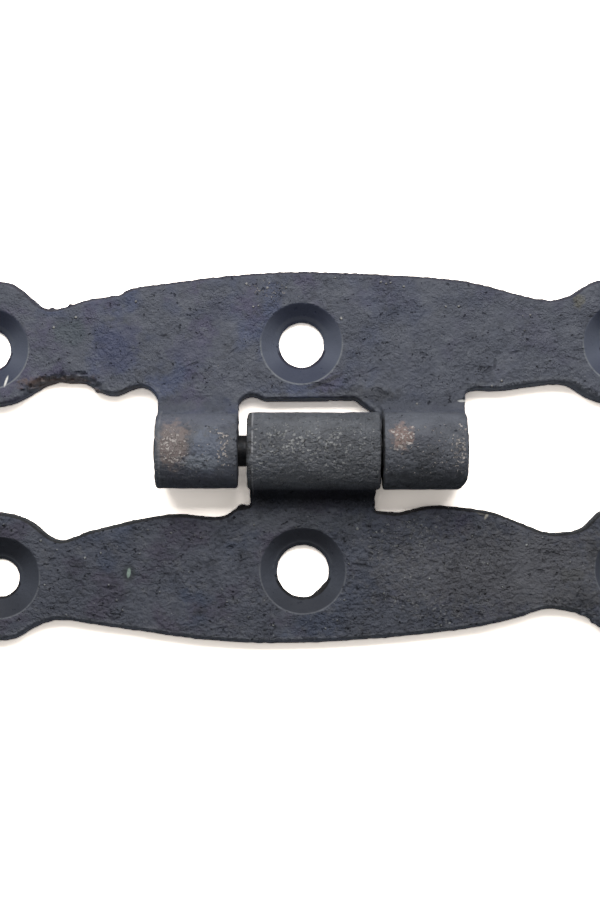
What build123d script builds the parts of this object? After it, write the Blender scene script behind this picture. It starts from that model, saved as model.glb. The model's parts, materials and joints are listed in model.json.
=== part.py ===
from build123d import *

import os
from math import cos, radians, sin, sqrt, tan

# A small decorative surface hinge in black cast iron, laid open and flat on its back.
# Two wavy strap leaves end in round lobes. The upper leaf carries two knuckles, the lower
# leaf carries one between them, and a plain steel pin is pressed through all three.
# X runs along the pin, Y across the leaves and Z away from the surface that carries them.
# The origin is the middle of the footprint, on the back faces.

# Plates
plate_thickness = 2.2
edge_draft = 5.0
edge_rounding = 0.25

# Knuckles, from left to right along the pin, and the pin itself
knuckle_diameter = 7.7
left_knuckle_diameter = 7.4
pin_diameter = 3.1
running_clearance = 0.08
barrel_left = -15.55
left_knuckle_length = 8.15
float_gap = 0.93
middle_knuckle_length = 13.2
snug_gap = 0.22
right_knuckle_length = 8.35
knuckle_rounding = 0.3
middle_left_rounding = 0.45
chipped_corner_length = 0.75
chipped_corner_depth = 1.0
pin_stand = 0.2
pin_chamfer = 0.3

# Webs, which carry the knuckles
web_fillet = 1.4
web_lap = 0.8
web_heel = 0.6
outer_web_shoulder = 0.05
middle_web_left_shoulder = 0.25
middle_web_right_shoulder = 0.5

# Two-knuckle leaf, drawn from the middle of its strap
window_clearance = 1.25
upper_inner_depth = 5.85
upper_crown = 7.34
upper_crown_x = -2.2
upper_neck = 3.9
upper_lobe_radius = 6.4
upper_left_x = -32.04
upper_right_x = 30.46
upper_right_rise = 0.28
window_rise = 0.12
window_notch_rise = 0.46
window_notch_width = 2.8
window_corner_width = 2.9
window_corner_drop = 2.0
swing_clearance = 0.2

# One-knuckle leaf, drawn from the middle of its strap
root_clearance = 1.9
lower_inner_height = 6.25
lower_crown = 7.08
lower_neck = 4.0
lower_left_radius = 6.5
lower_right_radius = 6.65
lower_left_x = -31.54
lower_left_rise = -0.44
lower_right_x = 31.96
lower_right_rise = 0.25

# Screw holes, drilled after casting, so they stray a little from the middles of the lobes
upper_end_hole = 4.15
upper_middle_hole = 4.5
lower_end_hole = 3.7
lower_middle_hole = 5.2
upper_sink = 8.2
lower_end_sink = 8.2
lower_middle_sink = 8.6
sink_angle = 100
upper_left_stray = (-0.5, -0.6)
upper_right_stray = (0.8, -0.3)
upper_middle_spot = (-1.1, -0.06)
lower_left_stray = (0.23, -0.12)
lower_right_stray = (0.3, 0)
lower_middle_spot = (-0.95, 0.11)

# What follows from the driving dimensions
knuckle_radius = knuckle_diameter / 2
left_knuckle_radius = left_knuckle_diameter / 2
pin_radius = pin_diameter / 2
upper_line = knuckle_radius + window_clearance + upper_inner_depth
lower_line = knuckle_radius + root_clearance + lower_inner_height
window_left = barrel_left + left_knuckle_length
middle_left = window_left + float_gap
middle_right = middle_left + middle_knuckle_length
window_right = middle_right + snug_gap
barrel_right = window_right + right_knuckle_length
barrel_length = barrel_right - barrel_left
left_web_end = barrel_left + outer_web_shoulder
right_web_end = barrel_right - outer_web_shoulder
middle_web_left = middle_left + middle_web_left_shoulder
middle_web_right = middle_right - middle_web_right_shoulder
footprint_left = min(upper_left_x - upper_lobe_radius, lower_left_x - lower_left_radius)
footprint_right = max(upper_right_x + upper_lobe_radius, lower_right_x + lower_right_radius)
middle_x = -(footprint_left + footprint_right) / 2
pin_y = (lower_line + lower_crown - upper_line - upper_crown) / 2
pin_z = knuckle_radius
upper_strap = Plane(origin=(middle_x, pin_y + upper_line, 0))
lower_strap = Plane(origin=(middle_x, pin_y - lower_line, 0))
straight_height = plate_thickness - edge_rounding
straight_lean = straight_height * tan(radians(edge_draft))
plate_levels = (
    (0, 0),
    (straight_height, straight_lean),
    (plate_thickness, straight_lean + edge_rounding),
)


def rim(centre, radius, angle):
    """A point on a lobe's rim, at an angle in degrees from +X."""
    x = centre[0] + radius * cos(radians(angle))
    y = centre[1] + radius * sin(radians(angle))
    return Vector(x, y)


def past(angle):
    """The direction of travel past a point of a lobe's rim, going clockwise."""
    return Vector(sin(radians(angle)), -cos(radians(angle)))


def wave(*points, leaving, arriving):
    """A smooth cast edge through the points, with its directions at the two ends."""
    Spline(*points, tangents=(leaving, arriving), tangent_scalars=(1, 1))


def upper_outline(inset):
    """The two-knuckle leaf's outline, drawn in by the inset for its drafted edge."""
    left = (upper_left_x, 0)
    right = (upper_right_x, upper_right_rise)
    radius = upper_lobe_radius - inset
    neck = upper_neck - inset
    crown = upper_crown - inset
    inner = inset - upper_inner_depth
    lap = -upper_inner_depth - web_lap
    corner_start = (window_right, inner - window_corner_drop)
    corner_end = (window_right - window_corner_width, inner + window_rise)
    notch_start = (window_left + window_notch_width, inner)
    notch_end = (window_left, inner - window_notch_rise)
    right_corner = (right_web_end, -neck - 1.45)
    left_top_angle, left_bottom_angle = 76, 295
    right_top_angle, right_bottom_angle = 130, 232
    left_top = rim(left, radius, left_top_angle)
    left_bottom = rim(left, radius, left_bottom_angle)
    right_top = rim(right, radius, right_top_angle)
    right_bottom = rim(right, radius, right_bottom_angle)
    with BuildLine() as outline:
        # The far edge, with the step that the mould left near its left end
        wave(
            left_top,
            (0.908 * upper_left_x, neck + 1.5),
            (0.871 * upper_left_x, neck + 0.43),
            (0.833 * upper_left_x, neck - 0.3),
            (0.796 * upper_left_x, neck - 0.27),
            (0.72 * upper_left_x, neck + 0.49),
            (0.624 * upper_left_x, neck + 1.07),
            (0.606 * upper_left_x, neck + 1.18),
            (0.577 * upper_left_x, neck + 1.62),
            (0.53 * upper_left_x, neck + 1.98),
            (0.341 * upper_left_x, crown - 0.64),
            (upper_crown_x, crown),
            (0.278 * upper_right_x, crown - 0.33),
            (0.397 * upper_right_x, crown - 0.56),
            (0.596 * upper_right_x, neck + 1.9),
            (0.755 * upper_right_x, neck + 0.67),
            (0.794 * upper_right_x, neck + 0.59),
            (0.834 * upper_right_x, neck + 0.88),
            right_top,
            leaving=past(left_top_angle),
            arriving=past(right_top_angle),
        )
        ThreePointArc(right_top, rim(right, radius, 0), right_bottom)
        # The near edge, up to the right web
        wave(
            right_bottom,
            (0.834 * upper_right_x, -neck - 0.3),
            (0.794 * upper_right_x, -neck - 0.21),
            (0.676 * upper_right_x, -neck - 0.65),
            (0.596 * upper_right_x, -neck - 0.89),
            (right_web_end + 1.5, -neck - 0.82),
            (right_web_end + 0.4, -neck - 1.0),
            right_corner,
            leaving=past(right_bottom_angle),
            arriving=(-0.2, -1),
        )
        Polyline(
            right_corner,
            (right_web_end, lap),
            (window_right, lap),
            corner_start,
        )
        # The window, with a sloping corner at its right and a relief at its left
        wave(
            corner_start,
            (window_right - 0.5 * window_corner_width, inner - 0.38 * window_corner_drop),
            (window_right - 0.73 * window_corner_width, inner - 0.14 * window_corner_drop),
            corner_end,
            leaving=(-1, 1),
            arriving=(-1, 0),
        )
        Line(corner_end, notch_start)
        wave(
            notch_start,
            (window_left + window_notch_width / 2, inner + window_notch_rise),
            notch_end,
            leaving=(-1, 0.1),
            arriving=(-0.2, -1),
        )
        Polyline(
            notch_end,
            (window_left, lap),
            (left_web_end, lap),
            (left_web_end, inner),
        )
        # The near edge, from the left web on
        wave(
            (left_web_end, inner),
            (left_web_end - 0.7, -neck - 0.94),
            (left_web_end - 1.5, -neck - 0.57),
            (left_web_end - 2.7, -neck - 0.8),
            (left_web_end - 4.1, -neck - 1.37),
            (0.682 * upper_left_x, -neck - 0.74),
            (0.72 * upper_left_x, -neck - 0.14),
            (0.758 * upper_left_x, -neck - 0.09),
            (0.796 * upper_left_x, -neck - 0.03),
            (0.833 * upper_left_x, -neck - 0.38),
            left_bottom,
            leaving=(-0.4, 1),
            arriving=past(left_bottom_angle),
        )
        ThreePointArc(left_bottom, rim(left, radius, 180), left_top)
    return outline.line


def lower_outline(inset):
    """The one-knuckle leaf's outline, drawn in by the inset for its drafted edge."""
    left = (lower_left_x, lower_left_rise)
    right = (lower_right_x, lower_right_rise)
    left_radius = lower_left_radius - inset
    right_radius = lower_right_radius - inset
    neck = lower_neck - inset
    crown = lower_crown - inset
    inner = lower_inner_height - inset
    left_corner = (middle_web_left, inner + 0.7)
    right_corner = (middle_web_right, inner + 0.2)
    lap = lower_inner_height + root_clearance / 2
    left_top_angle, left_bottom_angle = 48, 285
    right_top_angle, right_bottom_angle = 118, 243
    left_top = rim(left, left_radius, left_top_angle)
    left_bottom = rim(left, left_radius, left_bottom_angle)
    right_top = rim(right, right_radius, right_top_angle)
    right_bottom = rim(right, right_radius, right_bottom_angle)
    with BuildLine() as outline:
        # The near edge, up to the web
        wave(
            left_top,
            (0.8 * lower_left_x, neck - 0.75),
            (0.73 * lower_left_x, neck - 0.07),
            (0.65 * lower_left_x, neck + 0.62),
            (0.46 * lower_left_x, inner - 0.43),
            (0.395 * lower_left_x, inner - 0.4),
            (middle_web_left - 3.4, inner - 0.64),
            (middle_web_left - 2.3, inner - 0.39),
            (middle_web_left - 1.3, inner + 0.25),
            left_corner,
            leaving=past(left_top_angle),
            arriving=(0.3, 1),
        )
        Polyline(
            left_corner,
            (middle_web_left, lap),
            (middle_web_right, lap),
            right_corner,
        )
        # The near edge, from the web on
        wave(
            right_corner,
            (middle_web_right + 1.0, inner - 0.1),
            (middle_web_right + 1.9, inner - 0.22),
            (0.341 * lower_right_x, inner + 0.33),
            (0.39 * lower_right_x, inner + 0.47),
            (0.49 * lower_right_x, inner + 0.22),
            (0.568 * lower_right_x, inner - 0.2),
            (0.682 * lower_right_x, neck + 0.6),
            (0.757 * lower_right_x, neck),
            (0.796 * lower_right_x, neck + 0.08),
            (0.834 * lower_right_x, neck + 0.33),
            (0.871 * lower_right_x, neck + 1.21),
            right_top,
            leaving=(0.3, -1),
            arriving=past(right_top_angle),
        )
        ThreePointArc(right_top, rim(right, right_radius, 0), right_bottom)
        # The far edge
        wave(
            right_bottom,
            (0.871 * lower_right_x, -neck - 0.75),
            (0.834 * lower_right_x, -neck - 0.2),
            (0.796 * lower_right_x, -neck + 0.1),
            (0.74 * lower_right_x, -neck + 0.25),
            (0.65 * lower_right_x, -neck - 0.56),
            (0.605 * lower_right_x, -neck - 0.93),
            (0.568 * lower_right_x, -neck - 1.21),
            (0.38 * lower_right_x, -crown + 0.95),
            (0, -crown),
            (0.39 * lower_left_x, -crown + 0.42),
            (0.54 * lower_left_x, -crown + 1.1),
            (0.73 * lower_left_x, -neck - 1.1),
            (0.82 * lower_left_x, -neck - 0.89),
            (0.856 * lower_left_x, -neck - 1.2),
            (0.895 * lower_left_x, -neck - 1.8),
            left_bottom,
            leaving=past(right_bottom_angle),
            arriving=past(left_bottom_angle),
        )
        ThreePointArc(left_bottom, rim(left, left_radius, 180), left_top)
    return outline.line


def web_plane(x):
    """The plane across the pin, at a distance along it from the middle of the straps."""
    return Plane(origin=(middle_x + x, pin_y, pin_z), x_dir=(0, 1, 0), z_dir=(1, 0, 0))


def web_profile(reach, radius, side):
    """The web seen along the pin: flat under, and hollowed up to meet its knuckle."""
    top = plate_thickness - pin_z
    hollow_y = top + web_fillet
    hollow_x = sqrt((radius + web_fillet) ** 2 - hollow_y**2)
    hollow = Vector(hollow_x, hollow_y)
    on_plate = Vector(hollow_x, top)
    on_knuckle = hollow * (radius / hollow.length)
    between = hollow + (on_plate + on_knuckle - hollow * 2).normalized() * web_fillet
    with BuildLine() as outline:
        Polyline(
            (web_heel, on_knuckle.Y),
            (web_heel, -pin_z),
            (reach, -pin_z),
            (reach, top),
            on_plate,
        )
        ThreePointArc(on_plate, between, on_knuckle)
        Line(on_knuckle, (web_heel, on_knuckle.Y))
        if side < 0:
            mirror(about=Plane.YZ, mode=Mode.REPLACE)
    return outline.line


def knuckle(start, length, radius, left_rounding, right_rounding):
    """A cast knuckle from a place along the pin, with rounded ends."""
    with BuildPart() as barrel:
        with Locations((middle_x + start + length / 2, pin_y, pin_z)):
            Cylinder(radius, length, rotation=(0, 90, 0))
        left_rim, right_rim = barrel.edges().filter_by(GeomType.CIRCLE).sort_by(Axis.X)
        fillet(left_rim, left_rounding)
        fillet(right_rim, right_rounding)
    return barrel.part


left_knuckle = knuckle(
    barrel_left, left_knuckle_length, left_knuckle_radius, knuckle_rounding, knuckle_rounding
)
middle_knuckle = knuckle(
    middle_left, middle_knuckle_length, knuckle_radius, middle_left_rounding, knuckle_rounding
)
right_knuckle = knuckle(
    window_right, right_knuckle_length, knuckle_radius, knuckle_rounding, knuckle_rounding
)
upper_reach = knuckle_radius + window_clearance + web_lap
lower_reach = knuckle_radius + root_clearance + web_lap
left_hole = (upper_left_x + upper_left_stray[0], upper_left_stray[1])
right_hole = (upper_right_x + upper_right_stray[0], upper_right_rise + upper_right_stray[1])
upper_holes = (
    (left_hole, upper_end_hole, upper_sink),
    (upper_middle_spot, upper_middle_hole, upper_sink),
    (right_hole, upper_end_hole, upper_sink),
)
left_hole = (lower_left_x + lower_left_stray[0], lower_left_rise + lower_left_stray[1])
right_hole = (lower_right_x + lower_right_stray[0], lower_right_rise + lower_right_stray[1])
lower_holes = (
    (left_hole, lower_end_hole, lower_end_sink),
    (lower_middle_spot, lower_middle_hole, lower_middle_sink),
    (right_hole, lower_end_hole, lower_end_sink),
)

with BuildPart() as two_knuckle_leaf:
    for height, inset in plate_levels:
        with BuildSketch(upper_strap.offset(height)):
            add(upper_outline(inset))
            make_face()
    loft(ruled=True)
    # Room for the middle knuckle to turn past the window's corner
    with Locations((middle_x + (window_left + window_right) / 2, pin_y, pin_z)):
        Cylinder(
            knuckle_radius + swing_clearance,
            window_right - window_left,
            rotation=(0, 90, 0),
            mode=Mode.SUBTRACT,
        )
    with BuildSketch(web_plane(left_web_end)):
        add(web_profile(upper_reach, left_knuckle_radius, 1))
        make_face()
    extrude(amount=window_left - left_web_end)
    with BuildSketch(web_plane(window_right)):
        add(web_profile(upper_reach, knuckle_radius, 1))
        make_face()
    extrude(amount=right_web_end - window_right)
    add(left_knuckle)
    add(right_knuckle)
    # The right knuckle has lost the near corner of its outer end
    with BuildSketch(Plane.XY):
        chip_x = middle_x + barrel_right
        chip_y = pin_y - knuckle_radius
        with BuildLine():
            Polyline(
                (chip_x, chip_y + chipped_corner_depth),
                (chip_x - chipped_corner_length, chip_y),
                (chip_x - chipped_corner_length, chip_y - chipped_corner_depth),
                (chip_x + chipped_corner_length, chip_y - chipped_corner_depth),
                (chip_x + chipped_corner_length, chip_y + chipped_corner_depth),
                close=True,
            )
        make_face()
    extrude(amount=2 * pin_z, mode=Mode.SUBTRACT)
    with Locations((middle_x, pin_y, pin_z)):
        Cylinder(pin_radius, 2 * barrel_length, rotation=(0, 90, 0), mode=Mode.SUBTRACT)
    for spot, hole, sink in upper_holes:
        with Locations(upper_strap.offset(plate_thickness)):
            with Locations(spot):
                CounterSinkHole(hole / 2, sink / 2, counter_sink_angle=sink_angle)
two_knuckle_leaf.part.label = "two_knuckle_leaf"

with BuildPart() as one_knuckle_leaf:
    for height, inset in plate_levels:
        with BuildSketch(lower_strap.offset(height)):
            add(lower_outline(inset))
            make_face()
    loft(ruled=True)
    with BuildSketch(web_plane(middle_web_left)):
        add(web_profile(lower_reach, knuckle_radius, -1))
        make_face()
    extrude(amount=middle_web_right - middle_web_left)
    add(middle_knuckle)
    with Locations((middle_x, pin_y, pin_z)):
        Cylinder(
            pin_radius + running_clearance,
            2 * barrel_length,
            rotation=(0, 90, 0),
            mode=Mode.SUBTRACT,
        )
    for spot, hole, sink in lower_holes:
        with Locations(lower_strap.offset(plate_thickness)):
            with Locations(spot):
                CounterSinkHole(hole / 2, sink / 2, counter_sink_angle=sink_angle)
one_knuckle_leaf.part.label = "one_knuckle_leaf"

with BuildPart() as hinge_pin:
    with Locations((middle_x + (barrel_left + barrel_right) / 2, pin_y, pin_z)):
        Cylinder(pin_radius, barrel_length + 2 * pin_stand, rotation=(0, 90, 0))
    chamfer(hinge_pin.edges().filter_by(GeomType.CIRCLE), pin_chamfer)
hinge_pin.part.label = "hinge_pin"

os.makedirs("parts", exist_ok=True)
export_step(two_knuckle_leaf.part, "parts/two_knuckle_leaf.step")
export_step(one_knuckle_leaf.part, "parts/one_knuckle_leaf.step")
export_step(hinge_pin.part, "parts/hinge_pin.step")
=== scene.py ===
import json
import math
from typing import NamedTuple

import bpy
import numpy as np
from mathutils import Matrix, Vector, noise
from mathutils.kdtree import KDTree


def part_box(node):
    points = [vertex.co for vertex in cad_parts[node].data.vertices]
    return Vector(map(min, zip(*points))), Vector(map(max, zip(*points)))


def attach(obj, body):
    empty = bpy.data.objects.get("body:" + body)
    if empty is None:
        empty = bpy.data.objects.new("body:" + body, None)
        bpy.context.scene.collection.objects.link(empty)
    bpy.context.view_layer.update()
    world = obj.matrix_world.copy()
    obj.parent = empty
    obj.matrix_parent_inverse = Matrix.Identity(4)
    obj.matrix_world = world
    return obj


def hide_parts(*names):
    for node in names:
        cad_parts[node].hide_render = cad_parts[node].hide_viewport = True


# A small black cast-iron surface hinge, open and flat on a white floor, seen from above.
# Sizes in this script are in millimetres unless a name or a comment says otherwise.

MM = 0.001
FAR = 100.0

# Camera, set for the photograph's 600 x 900 frame
CAMERA_DISTANCE = 240
CAMERA_ELEVATION = 87.0
VIEW_HEIGHT = 90.0
SENSOR_LONG_SIDE = 36.0
NEAREST_SEEN = 10.0
LOOK_AT = (-1.325, 0.58, 2.2)

# Area lamps: name, azimuth, elevation, distance and sides in metres, and level.
# The levels together show a colour about as it is written.
LAMPS = (
    ("window", 180, 50, 0.7, (0.9, 0.5), 0.85),
    ("ceiling", 180, 85, 0.7, (0.6, 0.6), 0.05),
)
WORLD_LEVEL = 0.04


def srgb(red, green, blue):
    """A colour written as on a screen, as the linear values that a node takes."""
    linear = []
    for value in (red, green, blue):
        value /= 255
        linear.append(value / 12.92 if value <= 0.04045 else ((value + 0.055) / 1.055) ** 2.4)
    return (*linear, 1.0)


# A fade is a smooth step: its start and end, and what it gives there if not 0 and 1.
# A noise is the size of its lumps, its octaves, its roughness and how far it is moved.

# Sockets of Blender's Mix node for its factor, its two colours and the mixed colour
MIX_SOCKETS = (0, 6, 7)
MIXED_COLOUR = 2

# The floor: it reaches so many metres each way, and only the camera sees it overexposed, with a
# glow that ambient occlusion darkens into painted shade near the hinge
FLOOR_REACH = 1.5
FLOOR_WHITES = (srgb(240, 231, 221), srgb(242, 234, 225))
FLOOR_IN_LIGHT = srgb(216, 226, 238)
FLOOR_ROUGHNESS = 0.9
FLOOR_EXPOSURE = 5.0
# The camera's glow on the floor, which occlusion darkens into painted shade, and how far that
# occlusion looks
FLOOR_GLOW = 0.82
FLOOR_IN_GLOSS = 0.15
PAINTED_SHADE_REACH = 12.0
CLOUD_NOISE = {"size": 40.0, "detail": 2.0}

# The pin's steel
STEEL = srgb(38, 40, 44)
STAINED_STEEL = srgb(64, 62, 62)
STEEL_METALLIC = 0.6
STEEL_ROUGHNESS_FADE = (0.3, 0.7, 0.35, 0.6)
STAIN_NOISE = {"size": 0.8, "detail": 4.0}
STAIN_FADE = (0.35, 0.65)
RING_NOISE = {"size": 1.0, "detail": 3.0}
RING_STRETCH = (12.0, 1.0, 1.0)
RING_DEPTH = 0.03
RING_STRENGTH = 0.5

# The castings: mesh size, the angle of a sharp edge in degrees, and the plates' upper face
VOXEL = 0.18
SHARP_EDGE = 28
PLATE_TOP = 2.2

# Lumps of the cast surface: depth, size, octaves and what is added to the leaf's seed
CAST_LUMPS = (
    (0.04, 6.0, 2, 0),
    (0.035, 1.7, 3, 1),
    (0.025, 0.6, 2, 2),
)
HAMMERED_LUMPS = (0.05, 1.1, 2, 3)
HAMMERED_STRETCH = (1.0, 1.4, 1.4)
HAMMERED_HEIGHT = (PLATE_TOP + 0.6, PLATE_TOP + 2.0)
WALL_LUMPS = (0.07, 0.7, 3, 4)
WALL_STRETCH = (1.0, 1.0, 0.3)
STRUCK_LUMPS = (0.55, 0.4, 3, 5)
LUMP_DECAY = 0.9
LUMP_RATIO = 2.0
SEED_STEP = (13.7, 7.1, 3.3)

# The walls are where a normal's upward part is under this: for the lumps, and for the rims
WALL_NORMAL = 0.6
RIM_NORMAL = 0.5

# Where the lumps stay away: from the back, from the pin's middle, and round the holes
BACK_KEPT = (0.05, 0.4)
PIN_KEPT = (1.7, 2.1)
CONE_EDGE = (-0.1, 0.4)
CONE_RELIEF = 0.2
HOLE_EDGE = (0.05, 0.25)
HOLE_RELIEF = 0.7

# The full part of a burr's radius and of a struck area, and how far above a plate it acts
BURR_CORE = 0.3
STRUCK_CORE = 0.6
STRUCK_ABOVE = 0.3

# Attributes of the castings' points: how far the nearest wall is, and which way it faces
RIM = "rim"
RIM_FACING = "rim facing"

# The blackened iron, all over
IRON_IOR = 1.9
ROUGHNESS_FADE = (0.3, 0.7, 0.75, 0.62)
NOISE_MIDDLE = 0.5
FLATTENED = (1.0, 1.0, 0.0)
KNUCKLE_FADE = (PLATE_TOP + 1.0, PLATE_TOP + 3.0)
PATCH_FADE = (1.0, 0.5)
WOBBLE = 1.6
WOBBLE_NOISE = {"size": 0.6, "detail": 4.0}
RELIEF_NOISE = {"detail": 4.0, "roughness": 0.6}
SWELL_NOISE = {"size": 1.8, "detail": 2.0, "moved": 23.0}
SWELL_RISE = 0.5
GRAIN_NOISE = {"size": 0.26, "detail": 2.0}
KNUCKLE_ROUGHER = 0.2
PATCHY_NOISE = {"size": 3.0, "detail": 2.0, "moved": 11.0}
PATCHY_FADE = (0.35, 0.65, 0.45, 1.0)
RIGHT_ROUGHER = (-12.0, 6.0, 0.9, 1.25)

# Its mottled black
MOTTLE_NOISE = {"size": 1.2, "detail": 5.0, "roughness": 0.6, "moved": 57.0}
LIGHT_FADE = (0.52, 0.72, 0.0, 0.6)
DARK_FADE = (0.46, 0.3, 0.0, 0.6)
BLUE_NOISE = {"size": 5.0, "detail": 3.0}
BLUE_FADE = (0.48, 0.66)
VIOLET_NOISE = {"size": 4.0, "detail": 3.0, "moved": 31.0}
VIOLET_FADE = (0.5, 0.68)
TINT_FADE = (-2.0, 8.0, 1.0, 0.35)
SPECKLE_NOISE = {"size": 0.35, "detail": 3.0, "moved": 83.0}
SPECKLE_STRETCH = (0.6, 1.0, 1.0)
SPECKLE_FADE = (0.4, 0.25, 0.0, 0.5)
CREST_SHADE = 0.6

# Its pits and cracks, and the painted shade in the hollows beside the knuckles
PIT_NOISE = {"size": 0.5, "detail": 2.0, "moved": 43.0}
PIT_SHADE = 0.6
PIT_DULLNESS = 0.6
PIT_SINK = 0.5
CRACK_DEPTH = 0.55
# The colour of the painted shade in the hollows beside the knuckles, and how ragged its edge is
HOLLOW_SHADE = srgb(60, 62, 68)
HOLLOW_SHADE_RAGGED = 0.8

# Its worn grains and its bright flecks, both bright partly as painted glints
BEAD_NOISE = {"size": 0.27, "detail": 2.0, "moved": 71.0}
BEAD_EDGE = 0.06
BEAD_CLUSTERS = (0.4, 0.5, 0.1, 1.0)
BEAD_RISE = 0.8
# The knuckles' crests get more bright grains, as painted glints
CREST_FADE = (6.0, 7.2, 0.0, 0.07)
PLATE_BRIGHT = 0.4
KNUCKLE_BRIGHT = 0.45
FLECK_WOBBLE = 0.18
FLECK_FADE = (0.15, 0.02, 0.0, 0.85)

# Its countersinks, painted darker at the walls that face along Y and lighter at those that face
# along X, as shade and light fall there, with a painted highlight on their rims
CONE_REACH = 1.0
CONE_SOFT = 0.04
CONE_SHADED_END_FADE = (0.3, 0.95)
CONE_HIGHLIGHT_FADE = (0.12, 0.03)
CONE_HIGHLIGHT_SIDES = (0.35, -0.1, 0.0, 0.75)
CONE_GLOSS = 0.6
CONE_ROUGH = 0.12

# Its bands round the knuckles' ends: painted shade, and pale worn edges that are partly painted
# highlights
BAND_CORE = 0.6
BAND_BREAKS = (0.43, 0.53, 0.05, 1.0)
ABOVE_PLATE_FADE = (PLATE_TOP + 0.2, PLATE_TOP + 0.8)

# The edges of its plates: dark on the far side, and on the shaded near one a thin painted
# highlight and a broad band of painted light
PLATE_HEIGHT_FADE = (PLATE_TOP + 0.4, PLATE_TOP + 0.2)
FAR_RIM_FADE = (0.32, 0.18)
FACES_FAR = (0.1, 0.4)
NEAR_HIGHLIGHT = 0.36
NEAR_HIGHLIGHT_FADE = (0.1, 0.03)
FACES_NEAR = (-0.1, -0.4)
BROAD_LIGHT_START = (0.12, 0.3)
BROAD_LIGHT_END = (0.7, 0.45)
BROAD_LIGHT_FACING = (-0.1, -0.5)

# What tells the two leaves' iron apart: colours, then strengths.
# A cone is the part of a countersink's wall that faces along Y, painted darker as shade, and a
# side faces along X, painted lighter as light.
# Pits is a fade. A grain is bright, as wear and as a painted glint, above the level of beads,
# which worn and glinting spots lower.
UPPER_TONE = {
    "grey": srgb(79, 84, 98),
    "blue": srgb(64, 74, 104),
    "violet": srgb(75, 73, 100),
    "light": srgb(94, 99, 110),
    "dark": srgb(46, 51, 64),
    "crest": srgb(86, 89, 95),
    "pit": srgb(24, 26, 34),
    "bead_and_glint": srgb(208, 199, 194),
    "fleck_and_glint": srgb(190, 188, 184),
    "cone": srgb(60, 66, 86),
    "side": srgb(100, 106, 122),
    # The rim colour is that of the painted highlights on the countersinks' rims and the plates'
    # near edges, and of the painted light along those edges
    "rim": srgb(130, 134, 140),
    "rim_dark": srgb(32, 30, 52),
    "near_highlight": 0.0,
    "near_painted_light": 0.22,
    "pits": (0.33, 0.27),
    "beads": 0.71,
    "worn_and_glinting": 0.13,
    "gloss": 0.5,
    "knuckle_gloss": 0.5,
    "lumps": 0.4,
    "stretch": 1.0,
    "relief": 0.29,
    "grain": 0.08,
}
LOWER_TONE = {
    "grey": srgb(75, 79, 91),
    "blue": srgb(65, 73, 92),
    "violet": srgb(70, 68, 84),
    "light": srgb(94, 96, 102),
    "dark": srgb(42, 45, 53),
    "crest": srgb(64, 70, 78),
    "pit": srgb(20, 21, 27),
    "bead_and_glint": srgb(172, 173, 174),
    "fleck_and_glint": srgb(176, 178, 178),
    "cone": srgb(50, 53, 62),
    "side": srgb(74, 78, 88),
    # The rim colour is that of the painted highlights on the countersinks' rims and the plates'
    # near edges, and of the painted light along those edges
    "rim": srgb(108, 111, 118),
    "rim_dark": srgb(12, 11, 16),
    "near_highlight": 0.35,
    "near_painted_light": 0.15,
    "pits": (0.34, 0.28),
    "beads": 0.67,
    "worn_and_glinting": 0.095,
    "gloss": 0.32,
    "knuckle_gloss": 0.85,
    "lumps": 0.45,
    "stretch": 0.85,
    "relief": 0.6,
    "grain": 0.16,
}

# Each screw hole's middle, its radius and its countersink's radius
UPPER_HOLES = (
    ((-32.625, 10.745), 2.075, 4.1),
    ((-1.185, 11.285), 2.25, 4.1),
    ((31.175, 11.325), 2.075, 4.1),
)
LOWER_HOLES = (
    ((-31.395, -12.165), 1.85, 4.1),
    ((-1.035, -11.495), 2.6, 4.3),
    ((32.175, -11.355), 1.85, 4.1),
)

# Painted shade in the hollows beside the knuckles, where the knuckles shade the plates: the Y
# where it starts, is full, fades and ends, and its strength
UPPER_HOLLOW_SHADE = (4.4, 5.2, 5.6, 7.0, 0.3)
LOWER_HOLLOW_SHADE = (-5.2, -4.6, -3.8, -2.2, 0.6)

# Bands round the knuckles' ends, dark ones of painted shade and pale ones of worn edges, partly
# painted highlights: middle in X, half width, shade and strength
UPPER_END_SHADE_AND_WEAR = (
    (6.8, 0.28, (16, 18, 22), 0.9),
    (-15.15, 0.14, (130, 132, 136), 0.5),
)
LOWER_END_SHADE_AND_WEAR = (
    (-6.35, 0.34, (12, 14, 18), 0.95),
    (-6.0, 0.1, (160, 160, 164), 0.75),
)

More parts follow.
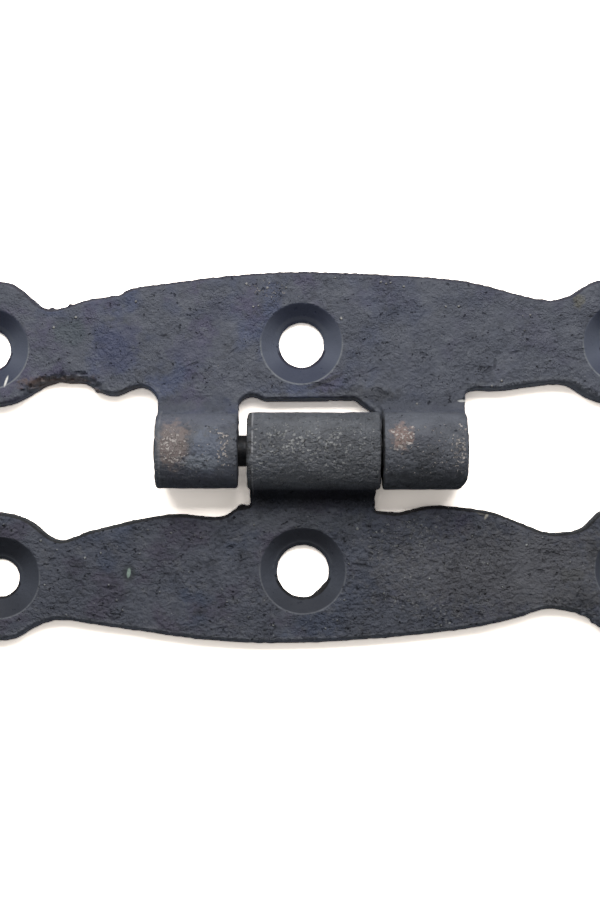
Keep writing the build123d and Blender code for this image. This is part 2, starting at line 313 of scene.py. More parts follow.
# Marks on the castings, some of them painted light, shade and sheen: middle, half sides, turn in
# degrees, shade and strength
UPPER_MARKS_AND_PAINTED_LIGHT = (
    ((-19.9, 11.0), (3.0, 3.2), 0, (52, 58, 96), 0.5),
    ((-12.5, 10.6), (3.0, 1.8), 0, (62, 62, 96), 0.4),
    ((-24.3, 12.3), (2.2, 1.6), 0, (60, 78, 84), 0.4),
    # These two: painted light on the knuckles' +Y sides, which face the light
    ((-11.1, 3.5), (5.5, 1.1), 0, (104, 108, 120), 0.5),
    ((10.6, 3.5), (5.5, 1.1), 0, (104, 108, 118), 0.55),
    ((-25.9, 7.4), (4.2, 0.8), 4, (104, 82, 70), 0.8),
    ((-22.0, 6.3), (2.8, 0.7), -24, (96, 78, 68), 0.8),
    ((-18.3, 6.4), (2.2, 0.6), 15, (84, 72, 64), 0.5),
    ((-9.5, 14.8), (1.4, 2.0), 0, (54, 60, 86), 0.5),
    ((8.65, 1.67), (1.3, 1.6), 0, (176, 142, 126), 0.5),
    ((-13.7, 0.98), (2.0, 2.8), 0, (150, 130, 120), 0.55),
    # These two: a painted sheen on the left knuckle's flat facet
    ((-10.4, 0.1), (2.2, 2.6), 0, (98, 107, 126), 0.7),
    ((-10.9, -0.9), (2.6, 0.9), 0, (140, 146, 156), 0.6),
    # These two: painted shade on the right knuckle's underside
    ((11.0, -0.3), (1.6, 1.4), 0, (30, 34, 42), 0.5),
    ((11.0, -2.4), (5.4, 1.4), 0, (26, 33, 40), 0.6),
    ((26.6, 15.6), (0.8, 1.0), 0, (110, 106, 84), 0.5),
    ((4.7, 6.2), (5.0, 1.0), 0, (34, 37, 46), 0.6),
    ((1.3, 7.5), (3.2, 0.3), 23, (34, 37, 46), 0.7),
)
LOWER_MARKS_AND_PAINTED_LIGHT = (
    ((16.6, -5.7), (0.9, 0.2), -20, (120, 116, 104), 0.6),
    ((26.0, -14.4), (4.0, 2.0), 10, (36, 38, 42), 0.6),
    ((27.9, -9.9), (0.9, 2.4), 0, (30, 31, 34), 0.6),
    ((25.7, -11.9), (1.6, 0.8), 0, (66, 68, 52), 0.5),
    ((14.9, -6.9), (1.3, 1.5), 0, (58, 54, 78), 0.5),
    ((12.4, -9.4), (1.6, 0.9), 0, (46, 56, 86), 0.5),
    # The next: painted light where the knuckle's shadow falls on the plate
    ((-0.8, -6.5), (9.0, 1.6), 0, (90, 94, 102), 0.6),
    ((19.0, -11.5), (16.0, 5.5), 0, (96, 96, 100), 0.6),
    # The next: painted light on the middle knuckle's lit +Y side
    ((0.4, 2.6), (6.4, 1.2), 0, (104, 107, 112), 0.3),
)

# Edges that were struck off by hand: middle and half sides of the area, width and depth
UPPER_BEVELS = (
    ((-25.7, 7.5), (5.6, 2.4), 0.8, 0.8),
    ((27.6, 6.6), (2.6, 1.6), 0.5, 0.5),
)
LOWER_BEVELS = (
    ((0.0, -18.5), (60.0, 6.0), 0.22, 0.15),
)

# Burrs on the plates' walls: middle, radius and how far they stand out
UPPER_BURRS = (
    ((-24.3, 14.9), 0.35, 0.4),
    ((-24.9, 14.7), 0.3, 0.25),
    ((-26.2, 14.6), 0.4, 0.2),
    ((-21.6, 6.9), 0.5, 0.3),
)
LOWER_BURRS = (
    ((-7.2, -4.6), 0.9, 0.35),
    ((27.0, -15.4), 0.7, 0.2),
    ((28.3, -16.3), 0.6, 0.3),
    ((0.8, -13.3), 1.2, 0.2),
    ((6.65, -2.4), 2.2, 0.15),
)

# Small bright bits of metal, partly painted glints
UPPER_FLECKS_AND_GLINTS = (
    (21.0, 14.1), (21.8, 14.15), (21.2, 12.6), (14.6, 15.0), (13.3, 15.0), (2.2, 17.9),
    (6.8, 17.5), (7.3, 17.3), (7.8, 17.4), (9.1, 17.0), (2.8, 13.8), (10.4, 5.2),
    (17.9, 7.0), (18.9, 7.5), (16.3, 8.2), (-6.7, 17.3), (-4.4, 17.4), (-4.6, 16.9),
    (-3.8, 16.3), (-6.0, 15.0), (-5.5, 15.1), (-2.7, 16.9), (-17.8, 15.5), (-23.8, 13.9),
    (-26.0, 12.9), (26.5, 15.7),
)
LOWER_FLECKS_AND_GLINTS = (
    (16.4, -9.8), (15.3, -11.2), (17.4, -10.8), (21.3, -8.9), (8.4, -9.0), (12.7, -16.9),
    (13.6, -16.7), (4.4, -7.3), (3.1, -14.4), (9.9, -10.2), (7.0, -13.7), (1.2, -17.2),
    (-25.6, -9.4), (-20.4, -12.9), (-19.0, -15.4), (-16.5, -7.4), (-26.8, -12.9),
    (-4.0, -16.9), (-9.1, -13.3), (3.55, -10.8), (-30.9, -6.9), (-27.2, -8.5), (-24.6, -15.9),
    (-22.8, -10.2), (-21.2, -9.7), (-17.3, -9.8), (-15.3, -13.6), (-12.4, -11.6), (-11.2, -8.2),
    (-8.6, -14.6), (-5.9, -6.9), (6.3, -7.6), (10.8, -6.9), (11.6, -12.3), (15.9, -8.0),
    (18.9, -13.1), (22.9, -8.2), (25.6, -10.6), (2.4, -16.4), (-14.2, -7.7), (-19.6, -14.4),
)

# Scratches and chips over all but the plates' rims, written as the marks are
UPPER_STREAKS = (
    ((-30.8, 7.5), (0.16, 0.75), -14, (240, 238, 232), 1.0),
    ((14.9, 5.5), (0.55, 0.16), 0, (225, 225, 220), 0.9),
)
LOWER_STREAKS = (
    ((-18.4, -11.7), (0.9, 1.1), 0, (22, 34, 32), 0.6),
    ((-18.4, -11.7), (0.24, 0.6), -8, (150, 172, 160), 0.9),
    ((17.3, -6.0), (0.5, 0.18), 60, (180, 174, 160), 0.8),
)

# Cracks and hollows, which stay dark: middle, half sides and turn in degrees
UPPER_CRACKS = (
    ((18.4, 10.35), (0.6, 0.22), 0),
    ((20.1, 10.35), (0.8, 0.2), 8),
    ((18.2, 9.3), (0.18, 0.8), -5),
    ((17.5, 8.6), (0.7, 0.25), 38),
    ((3.3, 7.5), (0.28, 0.3), 0),
    ((5.8, 8.5), (0.8, 0.18), 24),
    ((1.0, 7.1), (1.8, 0.2), -8),
    ((6.9, 6.4), (0.8, 0.3), -30),
    ((11.1, 10.2), (0.5, 0.22), -20),
    ((7.3, 10.1), (0.6, 0.14), 20),
    ((7.9, 14.2), (0.8, 0.14), 18),
    ((25.9, 9.8), (1.2, 0.18), -15),
    ((26.8, 10.6), (0.8, 0.16), 10),
    ((-7.9, 10.6), (0.8, 0.14), 35),
    ((-15.0, 12.0), (0.4, 0.14), 0),
    ((-12.0, 9.2), (0.7, 0.16), 20),
)
LOWER_CRACKS = (
    ((4.5, -10.9), (1.1, 0.18), -6),
    ((7.1, -14.2), (1.1, 0.35), -12),
    ((9.0, -14.7), (0.4, 0.2), -40),
    ((22.7, -11.6), (0.5, 0.25), 0),
    ((5.6, -9.9), (0.4, 0.28), -30),
    ((24.0, -9.9), (0.8, 0.3), -10),
    ((3.4, -10.5), (0.25, 0.25), 0),
    ((14.2, -11.3), (0.5, 0.16), 15),
    ((9.4, -8.0), (0.7, 0.15), 10),
    ((12.0, -10.6), (0.6, 0.15), -5),
    ((-26.0, -10.4), (0.5, 0.2), 20),
    ((-20.2, -13.2), (0.6, 0.2), 0),
    ((-8.3, -9.2), (0.4, 0.18), 0),
    ((-12.6, -14.2), (0.5, 0.16), 0),
)

# Worn spots, where many grains stand up bright as wear and as painted glints: middle and half
# sides
UPPER_WORN_AND_GLINTING = (
    ((8.65, 1.4), (1.5, 1.7)),
    ((-13.6, 0.8), (1.6, 2.4)),
    ((-8.9, 0.6), (0.9, 2.0)),
    ((14.3, 0.6), (1.0, 3.0)),
    ((-4.5, 16.6), (3.0, 1.4)),
)
LOWER_WORN_AND_GLINTING = (
    ((-0.5, 1.0), (6.0, 1.4)),
    ((16.5, -10.5), (4.0, 1.6)),
    ((9.0, -9.0), (5.0, 4.0)),
    ((12.0, -15.0), (7.0, 2.0)),
)


class Leaf(NamedTuple):
    """A leaf's casting: the names it goes by, and what tells it from the other one."""

    piece: str
    node: str
    body: str
    iron: str
    seed: int
    tone: dict
    holes: tuple
    hollow_shading: tuple
    end_shade_and_wear: tuple
    marks: tuple
    bevels: tuple
    burrs: tuple
    flecks_and_glints: tuple
    streaks: tuple
    cracks: tuple
    worn_and_glinting: tuple


UPPER_LEAF = Leaf(
    piece="two_knuckle_casting",
    node="two_knuckle_leaf",
    body="two_knuckle_side",
    iron="blackened iron, two knuckles",
    seed=1,
    tone=UPPER_TONE,
    holes=UPPER_HOLES,
    hollow_shading=UPPER_HOLLOW_SHADE,
    end_shade_and_wear=UPPER_END_SHADE_AND_WEAR,
    marks=UPPER_MARKS_AND_PAINTED_LIGHT,
    bevels=UPPER_BEVELS,
    burrs=UPPER_BURRS,
    flecks_and_glints=UPPER_FLECKS_AND_GLINTS,
    streaks=UPPER_STREAKS,
    cracks=UPPER_CRACKS,
    worn_and_glinting=UPPER_WORN_AND_GLINTING,
)
LOWER_LEAF = Leaf(
    piece="one_knuckle_casting",
    node="one_knuckle_leaf",
    body="one_knuckle_side",
    iron="blackened iron, one knuckle",
    seed=5,
    tone=LOWER_TONE,
    holes=LOWER_HOLES,
    hollow_shading=LOWER_HOLLOW_SHADE,
    end_shade_and_wear=LOWER_END_SHADE_AND_WEAR,
    marks=LOWER_MARKS_AND_PAINTED_LIGHT,
    bevels=LOWER_BEVELS,
    burrs=LOWER_BURRS,
    flecks_and_glints=LOWER_FLECKS_AND_GLINTS,
    streaks=LOWER_STREAKS,
    cracks=LOWER_CRACKS,
    worn_and_glinting=LOWER_WORN_AND_GLINTING,
)


class Shader:
    """A material's node tree, with short calls for the nodes that it needs."""

    def __init__(self, name):
        self.material = bpy.data.materials.new(name)
        self.material.use_nodes = True
        self.tree = self.material.node_tree
        self.tree.nodes.clear()
        self.surface = self.node("ShaderNodeBsdfPrincipled")
        output = self.node("ShaderNodeOutputMaterial")
        self.link(self.surface.outputs["BSDF"], output.inputs["Surface"])

    def node(self, kind, **settings):
        made = self.tree.nodes.new(kind)
        for key, value in settings.items():
            setattr(made, key, value)
        return made

    def link(self, source, target):
        if isinstance(source, bpy.types.NodeSocket):
            self.tree.links.new(source, target)
        else:
            target.default_value = source

    def place(self):
        """The point on the object, in millimetres."""
        coordinates = self.node("ShaderNodeTexCoord")
        return self.vector("SCALE", coordinates.outputs["Object"], scale=1 / MM)

    def vector(self, operation, first, second=None, scale=None):
        made = self.node("ShaderNodeVectorMath", operation=operation)
        self.link(first, made.inputs[0])
        if second is not None:
            self.link(second, made.inputs[1])
        if scale is not None:
            self.link(scale, made.inputs["Scale"])
        return made.outputs["Value" if operation in ("LENGTH", "DISTANCE") else "Vector"]

    def math(self, operation, first, second=0.0, third=0.0):
        made = self.node("ShaderNodeMath", operation=operation)
        for socket, value in zip(made.inputs, (first, second, third)):
            self.link(value, socket)
        return made.outputs["Value"]

    def times(self, first, second):
        return self.math("MULTIPLY", first, second)

    def parts(self, vector):
        """The three numbers of a vector."""
        split = self.node("ShaderNodeSeparateXYZ")
        self.link(vector, split.inputs[0])
        return split.outputs[0], split.outputs[1], split.outputs[2]

    def noise(self, place, size, detail, roughness=0.55, moved=0.0):
        """Noise from 0 to 1 whose lumps are about as large as the size in millimetres."""
        made = self.node("ShaderNodeTexNoise")
        if moved:
            place = self.vector("ADD", place, (moved, moved, moved))
        self.link(place, made.inputs["Vector"])
        made.inputs["Scale"].default_value = 1 / size
        made.inputs["Detail"].default_value = detail
        made.inputs["Roughness"].default_value = roughness
        return made.outputs["Fac"]

    def fade(self, value, start, end, low=0.0, high=1.0):
        """A smooth step of the value from start to end."""
        made = self.node("ShaderNodeMapRange", interpolation_type="SMOOTHSTEP")
        for name, setting in (
            ("Value", value),
            ("From Min", start),
            ("From Max", end),
            ("To Min", low),
            ("To Max", high),
        ):
            self.link(setting, made.inputs[name])
        return made.outputs["Result"]

    def mix(self, factor, first, second):
        made = self.node("ShaderNodeMix", data_type="RGBA")
        for index, value in zip(MIX_SOCKETS, (factor, first, second)):
            self.link(value, made.inputs[index])
        return made.outputs[MIXED_COLOUR]

    def stretched(self, place, scales):
        """The place times a scale along each axis: a small one makes marks long."""
        return self.vector("MULTIPLY", place, scales)

    def patch(self, place, centre, size, turn, wobble):
        """1 inside an oval patch around a centre, fading out with a ragged edge."""
        offset = self.vector("SUBTRACT", place, (*centre, 0.0))
        if turn:
            turned = self.node("ShaderNodeVectorRotate", rotation_type="Z_AXIS")
            self.link(offset, turned.inputs["Vector"])
            turned.inputs["Angle"].default_value = math.radians(-turn)
            offset = turned.outputs["Vector"]
        scaled = self.stretched(offset, (1 / size[0], 1 / size[1], 0.0))
        distance = self.vector("LENGTH", scaled)
        return self.fade(self.math("ADD", distance, wobble), *PATCH_FADE)

    def bump(self, height, distance, strength=1.0, below=None):
        made = self.node("ShaderNodeBump")
        made.inputs["Strength"].default_value = strength
        made.inputs["Distance"].default_value = distance * MM
        self.link(height, made.inputs["Height"])
        if below is not None:
            self.link(below, made.inputs["Normal"])
        return made.outputs["Normal"]


class CastIron(Shader):
    """Blackened cast iron: rough sand-cast relief, dark pits, bright worn grains that are partly
    painted glints, and painted light and shade.
    """

    def __init__(self, leaf):
        super().__init__(leaf.iron)
        self.leaf = leaf
        self.tone = leaf.tone
        self.at = self.place()
        self.flat = self.stretched(self.at, FLATTENED)
        self.along = self.stretched(self.at, (self.tone["stretch"], 1.0, 1.0))
        self.across, self.upward, self.height = self.parts(self.at)
        self.knuckle = self.fade(self.height, *KNUCKLE_FADE)
        self.from_cone, self.cone_side = self.cones()

        wobble = self.noise(self.at, **WOBBLE_NOISE)
        self.wobble = self.math("MULTIPLY_ADD", wobble, WOBBLE, -WOBBLE * NOISE_MIDDLE)
        self.relief = self.noise(self.along, self.tone["lumps"], **RELIEF_NOISE)
        self.mottle = self.noise(self.at, **MOTTLE_NOISE)
        self.swell = self.noise(self.at, **SWELL_NOISE)
        self.pits = self.pits_and_cracks()
        self.beads = self.worn_and_glinting_beads()
        self.flecks_and_glints = self.metal_flecks_and_glints()
        self.hollow_shade_share = self.painted_hollow_shade()

        self.link(self.colour(), self.surface.inputs["Base Color"])
        self.link(self.fade(self.swell, *ROUGHNESS_FADE), self.surface.inputs["Roughness"])
        self.surface.inputs["IOR"].default_value = IRON_IOR
        self.link(self.gloss(), self.surface.inputs["Specular IOR Level"])
        self.link(self.bumps(), self.surface.inputs["Normal"])

    def cones(self):
        """The distance outside the nearest countersink's rim, and the side of its hole.

        The side goes from -1 at the hole's -Y side to 1 at its +Y side.
        """
        nearest = FAR
        side = 0.0
        for spot, _, sink in self.leaf.holes:
            offset = self.vector("SUBTRACT", self.flat, (*spot, 0.0))
            away = self.vector("LENGTH", offset)
            here = self.math("LESS_THAN", away, sink + CONE_REACH)
            upward = self.math("DIVIDE", self.parts(offset)[1], away)
            side = self.math("MULTIPLY_ADD", upward, here, side)
            nearest = self.math("MINIMUM", self.math("SUBTRACT", away, sink), nearest)
        return nearest, side

    def pits_and_cracks(self):
        """1 at the bottom of the pits, and a share of it in the marked cracks."""
        pits = self.fade(self.noise(self.along, **PIT_NOISE), *self.tone["pits"])
        cracks = 0.0
        for centre, size, turn in self.leaf.cracks:
            crack = self.patch(self.at, centre, size, turn, self.wobble)
            cracks = self.math("MAXIMUM", crack, cracks)
        return self.math("MAXIMUM", pits, self.times(cracks, CRACK_DEPTH))

    def worn_and_glinting_beads(self):
        """1 on grains that stand up and are worn bright and painted as glints, more of them on
        the worn spots and the knuckles' crests.
        """
        grains = self.noise(self.along, **BEAD_NOISE)
        lowest = self.math("SUBTRACT", self.tone["beads"], self.fade(self.height, *CREST_FADE))
        for centre, size in self.leaf.worn_and_glinting:
            spot = self.patch(self.at, centre, size, 0, self.wobble)
            lowest = self.math("MULTIPLY_ADD", spot, -self.tone["worn_and_glinting"], lowest)
        beads = self.fade(grains, lowest, self.math("ADD", lowest, BEAD_EDGE))
        return self.times(beads, self.fade(self.mottle, *BEAD_CLUSTERS))

    def metal_flecks_and_glints(self):
        """1 on small bright bits of metal, partly painted glints."""
        nearest = FAR
        for spot in self.leaf.flecks_and_glints:
            away = self.vector("DISTANCE", self.flat, (*spot, 0.0))
            nearest = self.math("MINIMUM", away, nearest)
        nearest = self.math("MULTIPLY_ADD", self.wobble, FLECK_WOBBLE, nearest)
        return self.fade(nearest, *FLECK_FADE)

    def painted_hollow_shade(self):
        """How strong the painted shade is in the hollow beside the knuckles."""
        start, full, fading, end, strength = self.leaf.hollow_shading
        ragged = self.math("MULTIPLY_ADD", self.relief, HOLLOW_SHADE_RAGGED, self.upward)
        rising = self.fade(ragged, start, full)
        return self.times(rising, self.fade(ragged, end, fading, high=strength))

    def colour(self):
        """All the layers of colour, from the mottled black to the scratches and edges."""
        tone = self.tone
        colour = self.mottled_black()
        # Marks, some of them painted light, shade and sheen
        colour = self.painted(colour, self.leaf.marks, self.wobble)
        colour = self.mix(self.times(self.pits, PIT_SHADE), colour, tone["pit"])
        bead_and_glint_strength = self.math("MULTIPLY_ADD", self.knuckle, KNUCKLE_BRIGHT, PLATE_BRIGHT)
        # Worn grains painted bright, partly as glints
        colour = self.mix(self.times(self.beads, bead_and_glint_strength), colour, tone["bead_and_glint"])
        # Painted shade in the hollows beside the knuckles, where the knuckles shade the plates
        colour = self.mix(self.hollow_shade_share, colour, HOLLOW_SHADE)
        # The turned countersinks, with painted light, shade and highlight
        colour = self.machined_cones_and_painted_light(colour)
        # Painted shade and worn, partly highlighted edges round the knuckles' ends
        colour = self.shade_and_wear_bands(colour)
        # Bright metal flecks, partly painted glints
        colour = self.mix(self.flecks_and_glints, colour, tone["fleck_and_glint"])
        colour = self.painted(colour, self.leaf.streaks, 0.0)
        # The plates' rims, with a painted highlight and painted light on their near edges
        return self.plate_rims_and_painted_light(colour)

    def mottled_black(self):
        """Grey with blue and violet patches, fewer to the right, and light and dark mottle."""
        tone = self.tone
        tinted = self.fade(self.across, *TINT_FADE)
        blue = self.fade(self.noise(self.at, **BLUE_NOISE), *BLUE_FADE)
        violet = self.fade(self.noise(self.at, **VIOLET_NOISE), *VIOLET_FADE)
        speckle = self.noise(self.stretched(self.at, SPECKLE_STRETCH), **SPECKLE_NOISE)
        colour = self.mix(self.times(blue, tinted), tone["grey"], tone["blue"])
        colour = self.mix(self.times(violet, tinted), colour, tone["violet"])
        colour = self.mix(self.times(self.knuckle, CREST_SHADE), colour, tone["crest"])
        colour = self.mix(self.fade(self.mottle, *LIGHT_FADE), colour, tone["light"])
        colour = self.mix(self.fade(self.mottle, *DARK_FADE), colour, tone["dark"])
        return self.mix(self.fade(speckle, *SPECKLE_FADE), colour, tone["dark"])

    def painted(self, colour, marks, wobble):
        """The colour with each mark's shade laid over it."""
        for centre, size, turn, shade, strength in marks:
            inside = self.patch(self.at, centre, size, turn, wobble)
            colour = self.mix(self.times(inside, strength), colour, srgb(*shade))
        return colour

    def machined_cones_and_painted_light(self, colour):
        """The turned countersinks, painted darker where their walls face along Y and lighter
        where they face along X, as shade and light fall there, with a painted highlight on the
        -Y half of their rims.
        """
        inside = self.fade(self.from_cone, CONE_SOFT, -CONE_SOFT)
        end = self.fade(self.math("ABSOLUTE", self.cone_side), *CONE_SHADED_END_FADE)
        # Painted shade at the cones' Y ends, painted light at their X sides
        cone = self.mix(end, self.tone["side"], self.tone["cone"])
        colour = self.mix(inside, colour, cone)
        # A painted highlight on the -Y half of the countersinks' rims
        highlight_line = self.fade(self.math("ABSOLUTE", self.from_cone), *CONE_HIGHLIGHT_FADE)
        highlight_line = self.times(highlight_line, self.fade(self.cone_side, *CONE_HIGHLIGHT_SIDES))
        return self.mix(highlight_line, colour, self.tone["rim"])

    def shade_and_wear_bands(self, colour):
        """Narrow broken bands round the ends of the knuckles, above the plates: painted shade,
        and worn edges that are partly painted highlights.
        """
        above = self.fade(self.height, *ABOVE_PLATE_FADE)
        above = self.times(above, self.fade(self.mottle, *BAND_BREAKS))
        for middle, half_width, shade, strength in self.leaf.end_shade_and_wear:
            away = self.math("ABSOLUTE", self.math("SUBTRACT", self.across, middle))
            inside = self.fade(away, half_width, BAND_CORE * half_width, high=strength)
            colour = self.mix(self.times(inside, above), colour, srgb(*shade))
        return colour

    def plate_rims_and_painted_light(self, colour):
        """A thin dark rim on the plates' far edges, and along their shaded near edges a thin
        painted highlight and a broad band of painted light.
        """
        tone = self.tone
        from_wall = self.node("ShaderNodeAttribute", attribute_name=RIM).outputs["Fac"]
        facing = self.node("ShaderNodeAttribute", attribute_name=RIM_FACING).outputs["Fac"]
        low = self.fade(self.height, *PLATE_HEIGHT_FADE)

        far_rim = self.times(self.fade(from_wall, *FAR_RIM_FADE), self.fade(facing, *FACES_FAR))
        colour = self.mix(self.times(far_rim, low), colour, tone["rim_dark"])

        # A thin painted highlight along the ridge of the near edges
        from_highlight_line = self.math("ABSOLUTE", self.math("SUBTRACT", from_wall, NEAR_HIGHLIGHT))
        highlight_line = self.times(self.fade(from_highlight_line, *NEAR_HIGHLIGHT_FADE), self.fade(facing, *FACES_NEAR))
        highlight_line = self.times(highlight_line, tone["near_highlight"])
        colour = self.mix(self.times(highlight_line, low), colour, tone["rim"])

        # A broad band of painted light over the near edges' shaded side
        broad_painted_light = self.times(self.fade(from_wall, *BROAD_LIGHT_START), self.fade(facing, *BROAD_LIGHT_FACING))
        broad_painted_light = self.times(broad_painted_light, self.fade(from_wall, *BROAD_LIGHT_END, high=tone["near_painted_light"]))
        return self.mix(self.times(broad_painted_light, low), colour, tone["rim"])

    def gloss(self):
        """The specular level: less in the countersinks, where the hollows' shade is painted, and
        in pits.
        """
        plate = self.tone["gloss"]
        more = self.tone["knuckle_gloss"] - plate
        gloss = self.math("MULTIPLY_ADD", self.knuckle, more, plate)
        cone = self.fade(self.from_cone, -CONE_SOFT, CONE_SOFT, CONE_GLOSS, 1.0)
        gloss = self.times(gloss, cone)
        gloss = self.times(gloss, self.math("SUBTRACT", 1.0, self.hollow_shade_share))
        return self.times(gloss, self.math("MULTIPLY_ADD", self.pits, -PIT_DULLNESS, 1.0))

    def bumps(self):
        """The normal: lumps, grains and pits, and a fine grain over them."""
        patchy = self.fade(self.noise(self.at, **PATCHY_NOISE), *PATCHY_FADE)
        patchy = self.times(patchy, self.fade(self.across, *RIGHT_ROUGHER))
        knuckle = self.math("MULTIPLY_ADD", self.knuckle, KNUCKLE_ROUGHER, 1.0)
        cone = self.fade(self.from_cone, -CONE_SOFT, CONE_SOFT, CONE_ROUGH, 1.0)
        rough = self.times(self.times(patchy, knuckle), cone)

        raised = self.math("MULTIPLY_ADD", self.swell, SWELL_RISE, self.relief)
        raised = self.math("SUBTRACT", raised, (1 + SWELL_RISE) * NOISE_MIDDLE)
        grains = self.math("MAXIMUM", self.beads, self.flecks_and_glints)
        raised = self.math("MULTIPLY_ADD", grains, BEAD_RISE, raised)
        raised = self.math("MULTIPLY_ADD", self.pits, -PIT_SINK, raised)
        normal = self.bump(self.times(raised, rough), self.tone["relief"])
        fine = self.math("SUBTRACT", self.noise(self.at, **GRAIN_NOISE), NOISE_MIDDLE)
        return self.bump(self.times(fine, rough), self.tone["grain"], below=normal)


def dark_steel(name):
    """The pin: drawn steel, blackened, with faint marks along its turning."""
    shader = Shader(name)
    place = shader.place()
    rings = shader.noise(shader.stretched(place, RING_STRETCH), **RING_NOISE)
    stain = shader.fade(shader.noise(place, **STAIN_NOISE), *STAIN_FADE)
    surface = shader.surface.inputs
    shader.link(shader.mix(stain, STEEL, STAINED_STEEL), surface["Base Color"])
    surface["Metallic"].default_value = STEEL_METALLIC
    shader.link(shader.fade(rings, *STEEL_ROUGHNESS_FADE), surface["Roughness"])
    shader.link(shader.bump(rings, RING_DEPTH, RING_STRENGTH), surface["Normal"])
    return shader.material


def white_floor(name):
    """A white floor that keeps the hinge's shadow and shows overexposed to the camera, with a
    glow for the camera that ambient occlusion darkens into painted shade near the hinge.
    """
    shader = Shader(name)
    cloud = shader.noise(shader.place(), **CLOUD_NOISE)
    warm = shader.mix(cloud, *FLOOR_WHITES)
    exposed = shader.vector("SCALE", warm, scale=FLOOR_EXPOSURE)
    rays = shader.node("ShaderNodeLightPath").outputs
    to_camera = rays["Is Camera Ray"]
    in_gloss = shader.math("MAXIMUM", rays["Is Glossy Ray"], rays["Is Transmission Ray"])
    occlusion_shade = shader.node("ShaderNodeAmbientOcclusion")
    occlusion_shade.inputs["Distance"].default_value = PAINTED_SHADE_REACH * MM
    # Painted shade: the camera's glow on the floor, darkened by ambient occlusion near the hinge
    glow_and_painted_shade = shader.times(shader.times(occlusion_shade.outputs["AO"], FLOOR_GLOW), to_camera)
    glow_and_painted_shade = shader.math("MULTIPLY_ADD", in_gloss, FLOOR_IN_GLOSS, glow_and_painted_shade)
    surface = shader.surface.inputs
    shader.link(shader.mix(to_camera, FLOOR_IN_LIGHT, exposed), surface["Base Color"])
    shader.link(warm, surface["Emission Color"])
    shader.link(glow_and_painted_shade, surface["Emission Strength"])
    surface["Roughness"].default_value = FLOOR_ROUGHNESS
    surface["Specular IOR Level"].default_value = 0.0
    return shader.material


def link(obj):
    bpy.context.scene.collection.objects.link(obj)
    return obj


def vertex_values(mesh, key):
    """A vector of each of the mesh's points, such as its place, as rows of an array."""
    values = np.empty(len(mesh.vertices) * 3, np.float32)
    mesh.vertices.foreach_get(key, values)
    return values.reshape(-1, 3)


def remeshed(mesh, voxel):
    """The closed solid of a mesh, in millimetres, as an even mesh of small quads."""
    source = mesh.copy()
    source.vertices.foreach_set("co", (vertex_values(source, "co") / MM).ravel())
    helper = link(bpy.data.objects.new("helper", source))
    even = helper.modifiers.new("even", "REMESH")
    even.mode = "VOXEL"
    even.voxel_size = voxel
    even.adaptivity = 0.0
    graph = bpy.context.evaluated_depsgraph_get()
    result = bpy.data.meshes.new_from_object(helper.evaluated_get(graph))
    bpy.data.objects.remove(helper)
    return result


def lumpy(places, lumps, seed):
    """Smooth noise round 0 at each place."""
    depth, size, octaves, shift = lumps
    offset = Vector([part * (seed + shift) for part in SEED_STEP])
    values = [
        noise.fractal(Vector(place) / size + offset, LUMP_DECAY, LUMP_RATIO, octaves)
        for place in places
    ]
    return depth * np.array(values, np.float32)


def step(values, start, end):
    """A smooth step from 0 at start to 1 at end."""
    t = np.clip((values - start) / (end - start), 0, 1)
    return t * t * (3 - 2 * t)


def away_from(places, spot):
    """How far each point is from an upright line through the spot."""
    return np.hypot(places[:, 0] - spot[0], places[:, 1] - spot[1])


def nearest_wall(places, normals):
    """How far each point is from the nearest upright wall of a plate, and that wall's facing.

    The facing is the Y part of the wall's normal.
    """
    upright = (np.abs(normals[:, 2]) < RIM_NORMAL) & (places[:, 2] < PLATE_TOP)
    walls = places[upright]
    facings = normals[upright, 1]
    tree = KDTree(len(walls))
    for index, wall in enumerate(walls):
        tree.insert((wall[0], wall[1], 0.0), index)
    tree.balance()
    found = [tree.find((p[0], p[1], 0.0)) for p in places]
    away = np.array([distance for _, _, distance in found], np.float32)
    return away, facings[[index for _, index, _ in found]]


def relief_kept(places, holes, pin_line):
    """The share of the relief that stays: little in the cones, none at the pin or the back."""
    keep = np.ones(len(places), np.float32)
    for spot, hole, sink in holes:
        away = away_from(places, spot)
        outside = step(away, sink + CONE_EDGE[0], sink + CONE_EDGE[1])
        at_hole = 1.0 - step(away, hole + HOLE_EDGE[0], hole + HOLE_EDGE[1])
        rough = np.maximum(outside, HOLE_RELIEF * at_hole)
        keep *= CONE_RELIEF + (1.0 - CONE_RELIEF) * rough
    from_pin = np.hypot(places[:, 1] - pin_line[0], places[:, 2] - pin_line[1])
    return keep * step(from_pin, *PIN_KEPT) * step(places[:, 2], *BACK_KEPT)


def cast_relief(places, normals, leaf, pin_line):
    """How far each point stands out along its normal."""
    height = np.zeros(len(places), np.float32)
    for lumps in CAST_LUMPS:
        height += lumpy(places, lumps, leaf.seed)
    hammered = lumpy(places * HAMMERED_STRETCH, HAMMERED_LUMPS, leaf.seed)
    height += hammered * step(places[:, 2], *HAMMERED_HEIGHT)
    walls = (np.abs(normals[:, 2]) < WALL_NORMAL) & (places[:, 2] < PLATE_TOP)
    height += walls * lumpy(places * WALL_STRETCH, WALL_LUMPS, leaf.seed)
    height *= relief_kept(places, leaf.holes, pin_line)
    for spot, radius, bulge in leaf.burrs:
        height += bulge * walls * step(away_from(places, spot), radius, BURR_CORE * radius)
    return height


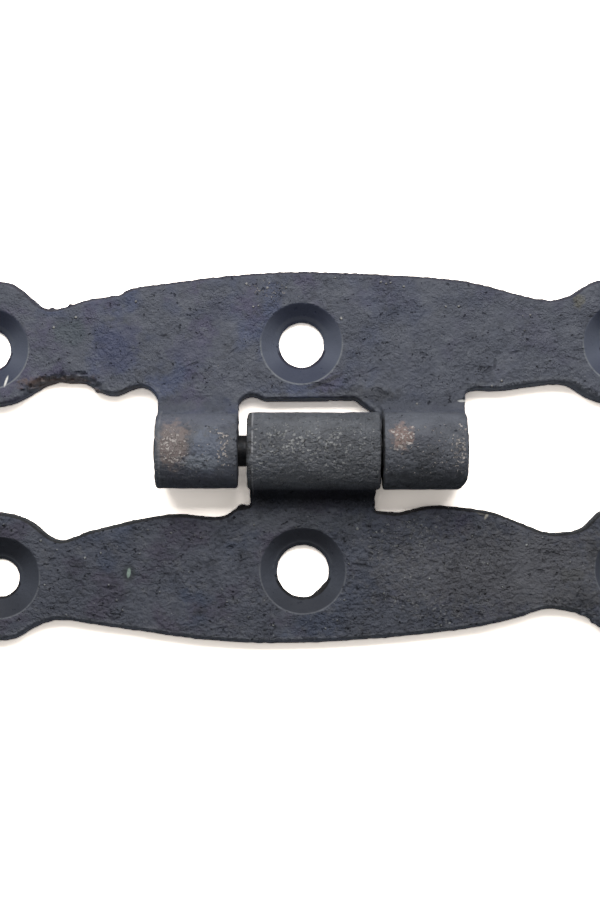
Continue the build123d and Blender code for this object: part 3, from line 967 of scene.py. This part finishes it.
def struck_share(places, from_wall, leaf):
    """The share of each point's height that is struck off at the leaf's bevels."""
    ragged = lumpy(places, STRUCK_LUMPS, leaf.seed)
    share = np.zeros(len(places), np.float32)
    for middle, half_sides, width, depth in leaf.bevels:
        away = np.hypot(
            (places[:, 0] - middle[0]) / half_sides[0],
            (places[:, 1] - middle[1]) / half_sides[1],
        )
        slope = np.clip(1.0 + ragged - from_wall / width, 0.0, 1.0) * depth / PLATE_TOP
        share = np.maximum(share, slope * step(away, 1.0, STRUCK_CORE))
    return share * (places[:, 2] < PLATE_TOP + STRUCK_ABOVE)


def roughen(mesh, leaf, low, high, pin_line):
    """Turn an even mesh in millimetres into a rough one in metres, inside the leaf's box."""
    places = vertex_values(mesh, "co")
    normals = vertex_values(mesh, "normal")
    from_wall, facing = nearest_wall(places, normals)
    for key, values in ((RIM, from_wall), (RIM_FACING, facing)):
        mesh.attributes.new(key, "FLOAT", "POINT").data.foreach_set("value", values)
    moved = places + normals * cast_relief(places, normals, leaf, pin_line)[:, None]
    moved[:, 2] *= 1.0 - struck_share(places, from_wall, leaf)
    moved = np.clip(moved, low, high)
    mesh.vertices.foreach_set("co", (moved * MM).ravel())
    mesh.update()


def make_casting(frame, leaf):
    """A rough cast copy of a leaf: it replaces the leaf's node on the same body."""
    joint_spot = frame["joints"][0]["pos_m"]
    pin_line = (joint_spot[1] / MM, joint_spot[2] / MM)
    low, high = (np.array(corner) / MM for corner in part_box(leaf.node))
    mesh = remeshed(frame["nodes"][leaf.node].data, VOXEL)
    roughen(mesh, leaf, low, high, pin_line)
    for polygon in mesh.polygons:
        polygon.use_smooth = True
    mesh.set_sharp_from_angle(angle=math.radians(SHARP_EDGE))
    mesh.materials.clear()
    mesh.materials.append(CastIron(leaf).material)
    piece = link(bpy.data.objects.new(leaf.piece, mesh))
    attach(piece, leaf.body)
    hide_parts(leaf.node)


def make_floor():
    mesh = bpy.data.meshes.new("floor")
    side = FLOOR_REACH
    corners = [(-side, -side, 0), (side, -side, 0), (side, side, 0), (-side, side, 0)]
    mesh.from_pydata(corners, [], [(0, 1, 2, 3)])
    mesh.materials.append(white_floor("white floor"))
    floor = link(bpy.data.objects.new("floor", mesh))


def aim(obj, target):
    obj.rotation_euler = (Vector(target) - obj.location).to_track_quat("-Z", "Y").to_euler()


def make_lamp(name, azimuth, elevation, distance, sides, level):
    """An area lamp that shines on the hinge. Azimuth 0 is the camera's side.

    The level is the light that it lays on the floor, where 1 shows a colour as written.
    """
    turn, rise = math.radians(azimuth), math.radians(elevation)
    lamp = bpy.data.lights.new(name, "AREA")
    lamp.shape = "RECTANGLE"
    lamp.size, lamp.size_y = sides
    lamp.energy = level * (math.pi * distance) ** 2 / math.sin(rise)
    obj = link(bpy.data.objects.new(name, lamp))
    obj.location = (
        distance * math.sin(turn) * math.cos(rise),
        -distance * math.cos(turn) * math.cos(rise),
        distance * math.sin(rise),
    )
    aim(obj, (0, 0, 0))


def make_camera():
    reach = CAMERA_DISTANCE - LOOK_AT[2]
    camera = bpy.data.cameras.new("camera")
    camera.sensor_width = SENSOR_LONG_SIDE
    camera.sensor_fit = "AUTO"
    camera.lens = SENSOR_LONG_SIDE * reach / VIEW_HEIGHT
    camera.clip_start = NEAREST_SEEN * MM
    obj = link(bpy.data.objects.new("camera", camera))
    rise = math.radians(CAMERA_ELEVATION)
    target = Vector([value * MM for value in LOOK_AT])
    obj.location = target + Vector((0, -math.cos(rise), math.sin(rise))) * reach * MM
    aim(obj, target)
    bpy.context.scene.camera = obj


def make_world(level):
    world = bpy.data.worlds.new("studio")
    world.use_nodes = True
    background = world.node_tree.nodes["Background"]
    background.inputs["Color"].default_value = (1, 1, 1, 1)
    background.inputs["Strength"].default_value = level
    bpy.context.scene.world = world


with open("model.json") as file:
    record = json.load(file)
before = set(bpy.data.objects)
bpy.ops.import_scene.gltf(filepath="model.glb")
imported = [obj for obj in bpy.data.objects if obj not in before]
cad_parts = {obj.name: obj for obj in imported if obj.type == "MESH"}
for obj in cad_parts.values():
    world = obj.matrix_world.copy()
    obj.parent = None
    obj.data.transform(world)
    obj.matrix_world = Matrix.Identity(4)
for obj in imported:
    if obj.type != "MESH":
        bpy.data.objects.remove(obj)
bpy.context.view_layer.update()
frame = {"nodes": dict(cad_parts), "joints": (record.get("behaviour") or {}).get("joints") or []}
bpy.context.scene.view_settings.view_transform = "Standard"

for leaf in (UPPER_LEAF, LOWER_LEAF):
    make_casting(frame, leaf)
pin = frame["nodes"]["hinge_pin"]
pin.data.materials.clear()
pin.data.materials.append(dark_steel("blackened pin"))

make_floor()
make_world(WORLD_LEVEL)
for lamp in LAMPS:
    make_lamp(*lamp)
make_camera()
